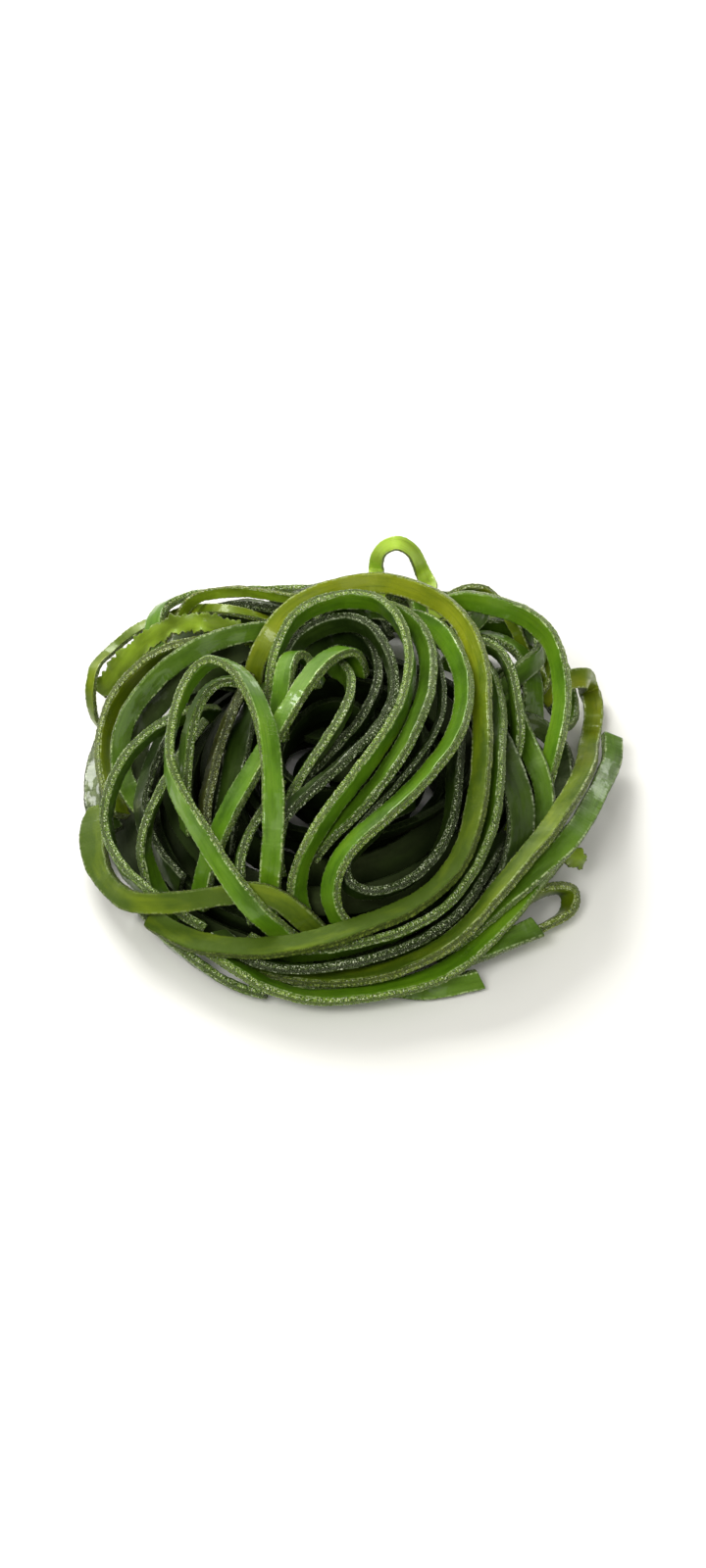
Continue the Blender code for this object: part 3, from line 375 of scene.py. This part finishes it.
def worked(group, operation, first, second=0.0):
    """One step of arithmetic on values."""
    step = group.nodes.new("ShaderNodeMath")
    step.operation = operation
    feed(group, first, step.inputs[0])
    feed(group, second, step.inputs[1])
    return step.outputs[0]


def times(group, first, second):
    """The one value times the other."""
    return worked(group, "MULTIPLY", first, second)


def plus(group, first, second):
    """The one value and the other together."""
    return worked(group, "ADD", first, second)


# From the shade value that paints the heap's dark inside near black, where no marks show, to the shade from
# which all of them do.
PAINTED_HOLLOW_SHADE, OPEN_SHADE = -0.5, -0.1
NICKED_PALE, NICKED_SHARE = (0.80, 0.84, 0.66, 1.0), 0.25
# How far a crease is painted pale as a highlight along its ridge, and how far it rises.
CREASE_PAINTED_HIGHLIGHT, CREASE_RISES = 0.2, 0.5


def wet_skin_group():
    """The blade's skin: slow changes of depth along it, faint long veins, paler blotches, dark flecks, a few
    small creases with a painted highlight along them, and pale ticks in stretches of the rims, where the cut
    has nicked it. Water lies on it in patches. Where its shade paints the heap's dark inside, it is painted
    near black, plain and dull."""
    group = bpy.data.node_groups.new("Wet kelp skin", "ShaderNodeTree")
    entry, leaving = sockets(
        group,
        [("Place", "NodeSocketVector"), ("Shade", "NodeSocketFloat"), ("Rim", "NodeSocketFloat"),
         ("Deep", "NodeSocketColor"), ("Body", "NodeSocketColor"), ("Light", "NodeSocketColor"),
         ("Edge", "NodeSocketColor")],
        [("Color", "NodeSocketColor"), ("Roughness", "NodeSocketFloat"), ("Height", "NodeSocketFloat"),
         ("Wet", "NodeSocketFloat")])
    shade, rim = entry.outputs["Shade"], entry.outputs["Rim"]
    deep, body, light, edge = (entry.outputs[label] for label in ("Deep", "Body", "Light", "Edge"))
    slow = noise(group, entry, along=0.045, across=0.14, through=0.1, detail=3.0)
    vein = noise(group, entry, along=0.05, across=1.1, through=0.3, detail=4.0, roughness=0.6)
    blotch = noise(group, entry, along=0.35, across=0.5, through=0.3, detail=4.0, roughness=0.65)
    fleck = noise(group, entry, along=1.6, across=1.9, through=1.0, detail=2.0)
    pimple = noise(group, entry, along=1.1, across=1.4, through=1.0, detail=3.0)
    tick = noise(group, entry, along=0.9, across=0.1, through=0.1, detail=2.0)
    crackle = noise(group, entry, along=0.55, across=0.16, through=0.1, detail=3.0, roughness=0.6)
    puddle = noise(group, entry, along=0.09, across=0.30, through=0.1, detail=4.0, roughness=0.6)
    where_nicked = noise(group, entry, along=0.04, across=0.12, through=0.05, detail=2.0)
    where_creased = noise(group, entry, along=0.05, across=0.06, through=0.02, detail=1.0)
    outside_painted_shade = ramp(group, shade, PAINTED_HOLLOW_SHADE, OPEN_SHADE)

    depth = plus(group, ramp(group, slow, 0.3, 0.7), shade)
    colour = blended(group, ramp(group, depth, 0.0, 0.55), deep, body)
    colour = blended(group, ramp(group, depth, 0.55, 1.25), colour, light)
    colour = blended(group, ramp(group, vein, 0.50, 0.68, top=0.40), colour, deep)
    paler = times(group, ramp(group, blotch, 0.55, 0.8, top=0.35), outside_painted_shade)
    colour = blended(group, paler, colour, light)
    colour = blended(group, ramp(group, fleck, 0.62, 0.76, top=0.4), colour, deep)

    off_crease = worked(group, "ABSOLUTE", plus(group, crackle, -0.5))
    crease = times(group, ramp(group, off_crease, 0.003, 0.010, bottom=1.0, top=0.0),
                   ramp(group, where_creased, 0.60, 0.66))
    crease = times(group, crease, outside_painted_shade)
    # A crease's pale line is a painted highlight along its ridge.
    colour = blended(group, times(group, crease, CREASE_PAINTED_HIGHLIGHT), colour, edge)

    ticks = times(group, ramp(group, rim, 0.2, 0.9), ramp(group, tick, 0.44, 0.58, bottom=0.05, top=0.7))
    ticks = times(group, ticks, ramp(group, where_nicked, 0.42, 0.60, bottom=0.15))
    nicked = blended(group, NICKED_SHARE, edge, NICKED_PALE)
    colour = blended(group, times(group, ticks, outside_painted_shade), colour, nicked)
    group.links.new(colour, leaving.inputs["Color"])

    dulled = ramp(group, outside_painted_shade, 0.0, 1.0, bottom=0.25, top=0.0)
    roughness = plus(group, ramp(group, blotch, 0.3, 0.7, bottom=0.30, top=0.46), dulled)
    group.links.new(roughness, leaving.inputs["Roughness"])
    group.links.new(times(group, ramp(group, puddle, 0.47, 0.52), outside_painted_shade), leaving.inputs["Wet"])
    rise = plus(group, ramp(group, pimple, 0.0, 1.0, top=0.5), ramp(group, vein, 0.0, 1.0, top=0.4))
    rise = plus(group, rise, times(group, crease, CREASE_RISES))
    group.links.new(rise, leaving.inputs["Height"])
    return group


FLESH_LIFT = 0.6
# The colour of the painted glints: sparkles of light on the wet grains of the cut side.
PAINTED_GLINT_COLOUR = (0.74, 0.80, 0.56, 1.0)
RUNG_RISES, SPECK_RISES = 0.8, 0.3


def cut_flesh_group():
    """The cut side of a strip: crimped crosswise like a ladder, with pale grains standing in darker flesh,
    and a few painted glints, sparkles of light on the wet grains."""
    group = bpy.data.node_groups.new("Cut kelp flesh", "ShaderNodeTree")
    entry, leaving = sockets(
        group,
        [("Place", "NodeSocketVector"), ("Shade", "NodeSocketFloat"), ("Flesh", "NodeSocketColor"),
         ("Hollow", "NodeSocketColor"), ("Grain", "NodeSocketColor")],
        [("Color", "NodeSocketColor"), ("Roughness", "NodeSocketFloat"), ("Height", "NodeSocketFloat")])
    shade = entry.outputs["Shade"]
    flesh, hollow, pale = (entry.outputs[label] for label in ("Flesh", "Hollow", "Grain"))
    rung = noise(group, entry, along=1.10, across=0.22, through=0.25, detail=2.0, roughness=0.6)
    grain = noise(group, entry, along=1.60, across=0.6, through=1.30, detail=2.0, roughness=0.7)
    speck = noise(group, entry, along=2.3, across=0.9, through=2.3, detail=1.0)
    glint_spot = noise(group, entry, along=1.9, across=0.8, through=1.9, detail=1.0)
    slow = noise(group, entry, along=0.05, across=0.1, through=0.1, detail=2.0)
    outside_painted_shade = ramp(group, shade, PAINTED_HOLLOW_SHADE, OPEN_SHADE)

    depth = plus(group, ramp(group, rung, 0.38, 0.62), times(group, shade, FLESH_LIFT))
    colour = blended(group, ramp(group, depth, 0.05, 0.85), hollow, flesh)
    colour = blended(group, ramp(group, slow, 0.35, 0.7, top=0.4), colour, hollow)
    grains = times(group, ramp(group, grain, 0.53, 0.61, top=0.85), outside_painted_shade)
    colour = blended(group, grains, colour, pale)
    colour = blended(group, ramp(group, speck, 0.47, 0.38, top=0.9), colour, hollow)
    # Painted glints: near-white spots of light on the wet grains.
    painted_glints = times(group, ramp(group, glint_spot, 0.60, 0.66, top=0.9), outside_painted_shade)
    colour = blended(group, painted_glints, colour, PAINTED_GLINT_COLOUR)
    group.links.new(colour, leaving.inputs["Color"])

    group.links.new(ramp(group, grain, 0.35, 0.65, bottom=0.50, top=0.20), leaving.inputs["Roughness"])
    rise = plus(group, times(group, rung, RUNG_RISES), grain)
    rise = plus(group, rise, times(group, speck, SPECK_RISES))
    group.links.new(rise, leaving.inputs["Height"])
    return group


wet_skin = wet_skin_group()
cut_flesh = cut_flesh_group()

FLESH_SHARE_FROM, FLESH_SHARE_TO = 0.3, 0.6
RELIEF = 0.9 * MM
SKIN_RELIEF = 0.10
GLOSS, SHEEN_TINT = 0.35, (0.82, 1.0, 0.38, 1.0)
WATER_ROUGHNESS, WATER_IOR = 0.06, 1.33
LIGHT_REACH, REACH_BY_COLOUR = 2.0 * MM, (0.7, 1.0, 0.15)


def kelp(slot, deep, body, light, hollow, flesh, grain, glow, film):
    """A wet kelp finish: skin and cut flesh, told apart by the strip's own marks. Deep, body and light are
    the skin's colours where it is thick, even and thin, and hollow, flesh and grain the cut side's. The glow
    is how much light comes through, and the film how much water lies on the skin's wet patches."""
    material = bpy.data.materials.new(f"{slot} wet kelp")
    material.use_nodes = True
    tree = material.node_tree
    shader = tree.nodes["Principled BSDF"]
    place = tree.nodes.new("ShaderNodeAttribute")
    place.attribute_name = "place"
    mark = tree.nodes.new("ShaderNodeAttribute")
    mark.attribute_name = "mark"
    told = tree.nodes.new("ShaderNodeSeparateXYZ")
    tree.links.new(mark.outputs["Vector"], told.inputs[0])
    cut, rim, shade = told.outputs

    def coloured(group, colours):
        side = tree.nodes.new("ShaderNodeGroup")
        side.node_tree = group
        tree.links.new(place.outputs["Vector"], side.inputs["Place"])
        tree.links.new(shade, side.inputs["Shade"])
        for label, colour in colours.items():
            side.inputs[label].default_value = (*colour, 1.0)
        return side

    skin = coloured(wet_skin, {"Deep": deep, "Body": body, "Light": light, "Edge": grain})
    side = coloured(cut_flesh, {"Hollow": hollow, "Flesh": flesh, "Grain": grain})
    tree.links.new(rim, skin.inputs["Rim"])
    share = ramp(tree, cut, FLESH_SHARE_FROM, FLESH_SHARE_TO)
    colour = blended(tree, share, skin.outputs["Color"], side.outputs["Color"])
    roughness = blended(tree, share, skin.outputs["Roughness"], side.outputs["Roughness"], "FLOAT")
    water = blended(tree, share, times(tree, skin.outputs["Wet"], film), 0.0, "FLOAT")
    skin_rise = times(tree, skin.outputs["Height"], SKIN_RELIEF)
    bump = tree.nodes.new("ShaderNodeBump")
    bump.inputs["Strength"].default_value = 1.0
    bump.inputs["Distance"].default_value = RELIEF
    tree.links.new(blended(tree, share, skin_rise, side.outputs["Height"], "FLOAT"), bump.inputs["Height"])
    tree.links.new(colour, shader.inputs["Base Color"])
    tree.links.new(roughness, shader.inputs["Roughness"])
    tree.links.new(water, shader.inputs["Coat Weight"])
    tree.links.new(bump.outputs["Normal"], shader.inputs["Normal"])
    shader.inputs["Specular IOR Level"].default_value = GLOSS
    shader.inputs["Specular Tint"].default_value = SHEEN_TINT
    shader.inputs["Coat Roughness"].default_value = WATER_ROUGHNESS
    shader.inputs["Coat IOR"].default_value = WATER_IOR
    shader.inputs["Subsurface Weight"].default_value = glow
    shader.inputs["Subsurface Radius"].default_value = REACH_BY_COLOUR
    shader.inputs["Subsurface Scale"].default_value = LIGHT_REACH
    return {"material": material, "slot": slot}


dark_kelp = kelp(
    "kelp_dark", deep=(0.004, 0.009, 0.002), body=(0.012, 0.026, 0.003), light=(0.030, 0.058, 0.006),
    hollow=(0.005, 0.011, 0.003), flesh=(0.026, 0.048, 0.008), grain=(0.180, 0.240, 0.090),
    glow=0.0, film=0.9)

NEST_STEP = 1.1
nest = ("foot_strip", "nest_coil_1", "nest_coil_2", "nest_coil_3", "nest_coil_4")
# The nest is laid in painted shade: near black, without marks or a film of water.
for seed, node in enumerate(nest):
    lay(node, dark_kelp, PAINTED_HOLLOW_SHADE, step=NEST_STEP, face_points=3, edge_points=2, crimp=0.0, seed=seed)

# The back of the heap. Strips that lie over the back of the nest and down to the surface: green, olive and
# dark blade with paler, grainy cut sides. They hold by their own weight, and by the ends that dip into the
# heap.

green_kelp = kelp(
    "kelp_green", deep=(0.014, 0.032, 0.002), body=(0.046, 0.104, 0.004), light=(0.085, 0.170, 0.008),
    hollow=(0.022, 0.046, 0.005), flesh=(0.145, 0.240, 0.032), grain=(0.420, 0.540, 0.180),
    glow=0.1, film=0.8)
olive_kelp = kelp(
    "kelp_olive", deep=(0.042, 0.078, 0.003), body=(0.105, 0.155, 0.004), light=(0.215, 0.255, 0.008),
    hollow=(0.042, 0.066, 0.007), flesh=(0.215, 0.285, 0.038), grain=(0.480, 0.560, 0.190),
    glow=0.15, film=0.4)
bright_kelp = kelp(
    "kelp_bright", deep=(0.032, 0.086, 0.003), body=(0.078, 0.180, 0.005), light=(0.135, 0.255, 0.010),
    hollow=(0.034, 0.070, 0.006), flesh=(0.190, 0.300, 0.036), grain=(0.470, 0.580, 0.190),
    glow=0.15, film=0.8)

FAR_STEP = 0.6
back_strips = (
    ("far_end_strip", dark_kelp, 0.0),
    ("far_long_arc", green_kelp, 0.0),
    ("far_nested_arc", olive_kelp, 0.0),
    ("far_dark_bundle", dark_kelp, 0.1),
    ("far_right_loop", green_kelp, 0.0),
    ("far_hook", green_kelp, 0.1),
    ("far_face_strip", bright_kelp, 0.0),
)
for seed, (node, finish, shade) in enumerate(back_strips, start=10):
    lay(node, finish, shade, step=FAR_STEP, seed=seed)

# The left side. Arcs that turn down from the back to the left and forwards again, painted darker where they
# lie deep in the heap's shade, with the folded loop thrown over them and an olive band laid flat over their
# front. All are cut blade, and the flat band keeps the blade's own rounded, wider end.

left_strips = (
    ("left_dark_blade", dark_kelp, 0.0),
    ("left_face_strip", dark_kelp, 0.1),
    ("left_inner_strip", green_kelp, 0.0),
    ("left_outer_arc", olive_kelp, 0.0),
    ("left_green_arc", green_kelp, 0.1),
    # These two arcs lie under the others, and their low shades paint that shade: darker, with no marks or
    # water.
    ("left_inner_arc", dark_kelp, -0.3),
    ("left_low_arc", dark_kelp, -0.4),
    ("back_left_dark_strip", dark_kelp, 0.2),
    ("left_loop", green_kelp, 0.1),
    ("folded_inner_strip", green_kelp, 0.2),
    ("folded_loop", bright_kelp, 0.1),
    ("flat_band", olive_kelp, -0.35),
)
for seed, (node, finish, shade) in enumerate(left_strips, start=20):
    lay(node, finish, shade, seed=seed)

# The middle and the S-shaped bundle. Strips of cut blade that run from the crown through the middle, and a
# bundle, leaning or standing on its cut edges, that swings round the hole in an S. The longest strip is the
# crown first, olive with painted light where light comes through it from behind, and then runs dark along
# the front of the heap.

brown_kelp = kelp(
    "kelp_brown", deep=(0.014, 0.018, 0.003), body=(0.036, 0.042, 0.005), light=(0.080, 0.088, 0.012),
    hollow=(0.024, 0.028, 0.008), flesh=(0.098, 0.118, 0.020), grain=(0.330, 0.380, 0.140),
    glow=0.1, film=0.6)

middle_strips = (
    ("center_brown_strip", brown_kelp, 0.0),
    ("center_pale_strip", dark_kelp, 0.2),
    ("center_stub_loop", bright_kelp, 0.1),
    ("center_edge_strip", green_kelp, 0.0),
    ("center_long_arc", green_kelp, 0.1),
    ("center_diagonal", bright_kelp, 0.0),
    ("hole_loop", dark_kelp, 0.3),
    ("dark_inner_loop", dark_kelp, 0.0),
    ("teardrop_loop", dark_kelp, 0.3),
    ("bright_s_strip", bright_kelp, 0.0),
    ("glossy_s_strip", green_kelp, 0.1),
    ("slim_s_strip", dark_kelp, 0.3),
    ("big_s_strip", bright_kelp, 0.0),
    # Its high shades at the crown paint the light that comes through the thin blade from behind.
    ("crown_and_front_strip", olive_kelp, (0.0, 0.9, 0.6, -0.2, -0.5, -0.5, -0.5)),
)
for seed, (node, finish, shade) in enumerate(middle_strips, start=40):
    lay(node, finish, shade, seed=seed)

# The right side. Open loops of green, olive and dark blade that lean outwards on the right, some lying on
# others' cut edges. The outer loop runs on from there round the front of the heap, where it is dark.

right_strips = (
    ("right_back_strip", green_kelp, 0.0),
    ("right_dark_strip", dark_kelp, 0.2),
    ("right_cross_strip", dark_kelp, 0.2),
    ("right_bright_bend", bright_kelp, 0.2),
    ("right_face_strip", dark_kelp, 0.3),
    ("right_small_arc", green_kelp, 0.1),
    ("right_inner_strip", green_kelp, 0.1),
    ("right_long_strip", green_kelp, 0.2),
    ("right_outer_loop", olive_kelp, (0.3, 0.4, 0.0, -0.3, -0.3, -0.3)),
    ("right_end_strip", green_kelp, 0.2),
    ("right_thin_arc", olive_kelp, 0.1),
)
for seed, (node, finish, shade) in enumerate(right_strips, start=60):
    lay(node, finish, shade, seed=seed)

# The front foot. Strips of cut blade that sweep round the front of the heap, low down. Two of them come out
# onto the surface and show the square cut that they end in, and one lies there in a small open loop.

front_strips = (
    ("front_edge_strip", bright_kelp, 0.1),
    ("front_dark_strip", dark_kelp, 0.3),
    ("front_left_strip", green_kelp, 0.1),
    ("front_cut_end", green_kelp, 0.3),
    ("floor_cut_end", green_kelp, 0.1),
    ("small_floor_loop", olive_kelp, 0.0),
)
for seed, (node, finish, shade) in enumerate(front_strips, start=80):
    lay(node, finish, shade, seed=seed)

# The thin margin. Ribbons and scraps of the blade's outer margin, so thin that light comes through them
# yellowish green; part of that light is painted into their pale colours and into the standing loop's high
# shade. The ribbons stand or lie along the back of the heap. The two scraps are waved and torn along both
# rims, and their solids are three points wide.

pale_kelp = kelp(
    "kelp_pale", deep=(0.090, 0.140, 0.004), body=(0.200, 0.300, 0.012), light=(0.380, 0.540, 0.060),
    hollow=(0.080, 0.100, 0.010), flesh=(0.220, 0.270, 0.045), grain=(0.400, 0.440, 0.160),
    glow=0.4, film=0.3)

margin_ribbons = (
    # The standing loop's high shade paints the light that comes through it.
    ("standing_loop", pale_kelp, 0.6),
    ("back_top_strip", pale_kelp, -0.1),
    ("back_left_thin_arc", olive_kelp, 0.1),
)
for seed, (node, finish, shade) in enumerate(margin_ribbons, start=90):
    lay(node, finish, shade, seed=seed)
SCRAP_SHADE, SCRAP_FRAY = -0.3, 1.0
for seed, node in enumerate(("back_left_margin", "right_margin_scrap"), start=94):
    lay(node, pale_kelp, SCRAP_SHADE, wide=3, face_points=9, edge_points=2, fray=SCRAP_FRAY, seed=seed)

# The surface, the light and the view. A plain pale floor under the heap, a window behind it on the left, a
# wide soft light and a smaller window in front, a faint low light from the back, and a long lens that looks
# down at the angle the photograph was taken from.

FLOOR_HALF = 4.0
floor_mesh = bpy.data.meshes.new("floor")
floor_mesh.from_pydata([(-FLOOR_HALF, -FLOOR_HALF, 0), (FLOOR_HALF, -FLOOR_HALF, 0),
                        (FLOOR_HALF, FLOOR_HALF, 0), (-FLOOR_HALF, FLOOR_HALF, 0)], [], [(0, 1, 2, 3)])
floor = bpy.data.objects.new("floor", floor_mesh)
bpy.context.scene.collection.objects.link(floor)
floor_paint = bpy.data.materials.new("pale floor")
floor_paint.use_nodes = True
floor_shader = floor_paint.node_tree.nodes["Principled BSDF"]
floor_shader.inputs["Base Color"].default_value = (0.80, 0.79, 0.74, 1.0)
floor_shader.inputs["Roughness"].default_value = 0.6
floor_mesh.materials.append(floor_paint)

world = bpy.data.worlds.new("studio")
world.use_nodes = True
room_light = world.node_tree.nodes["Background"]
room_light.inputs["Color"].default_value = (1.0, 0.99, 0.96, 1.0)
room_light.inputs["Strength"].default_value = 0.40
bpy.context.scene.world = world


def soft_light(name, place, size, watts):
    """A rectangular soft light that faces the heap's foot."""
    lamp = bpy.data.lights.new(name, "AREA")
    lamp.shape = "RECTANGLE"
    lamp.size, lamp.size_y = size
    lamp.energy = watts
    light = bpy.data.objects.new(name, lamp)
    bpy.context.scene.collection.objects.link(light)
    light.location = place
    aim = -light.location.normalized()
    light.rotation_euler = aim.to_track_quat("-Z", "Y").to_euler()


soft_light("window light", place=(-0.50, 0.98, 0.95), size=(0.80, 0.55), watts=21.0)
soft_light("front light", place=(0.6, -1.1, 1.5), size=(1.8, 1.8), watts=12.0)
soft_light("side window", place=(-0.45, -0.75, 1.25), size=(0.55, 0.40), watts=11.0)
soft_light("low back light", place=(0.55, 1.05, 0.22), size=(0.50, 0.30), watts=1.5)

PHOTO_WIDTH, PHOTO_HEIGHT = 720, 1600
MM_PER_PIXEL = 0.35
CAMERA_DISTANCE = 1.0
ELEVATION = math.radians(47.0)
HEAP_PIXEL = (360, 825)
SENSOR = 36.0

camera_data = bpy.data.cameras.new("camera")
camera_data.sensor_width = SENSOR
camera_data.lens = SENSOR * CAMERA_DISTANCE / (PHOTO_HEIGHT * MM_PER_PIXEL * MM)
camera = bpy.data.objects.new("camera", camera_data)
bpy.context.scene.collection.objects.link(camera)
back = np.array([0.0, -math.cos(ELEVATION), math.sin(ELEVATION)])
right, up = np.array([1.0, 0.0, 0.0]), np.array([0.0, math.sin(ELEVATION), math.cos(ELEVATION)])
shift_right = (PHOTO_WIDTH / 2 - HEAP_PIXEL[0]) * MM_PER_PIXEL * MM
shift_up = (HEAP_PIXEL[1] - PHOTO_HEIGHT / 2) * MM_PER_PIXEL * MM
camera.location = shift_right * right + shift_up * up + CAMERA_DISTANCE * back
camera.rotation_euler = (math.pi / 2 - ELEVATION, 0.0, 0.0)
bpy.context.scene.camera = camera
bpy.context.scene.view_settings.view_transform = "Standard"
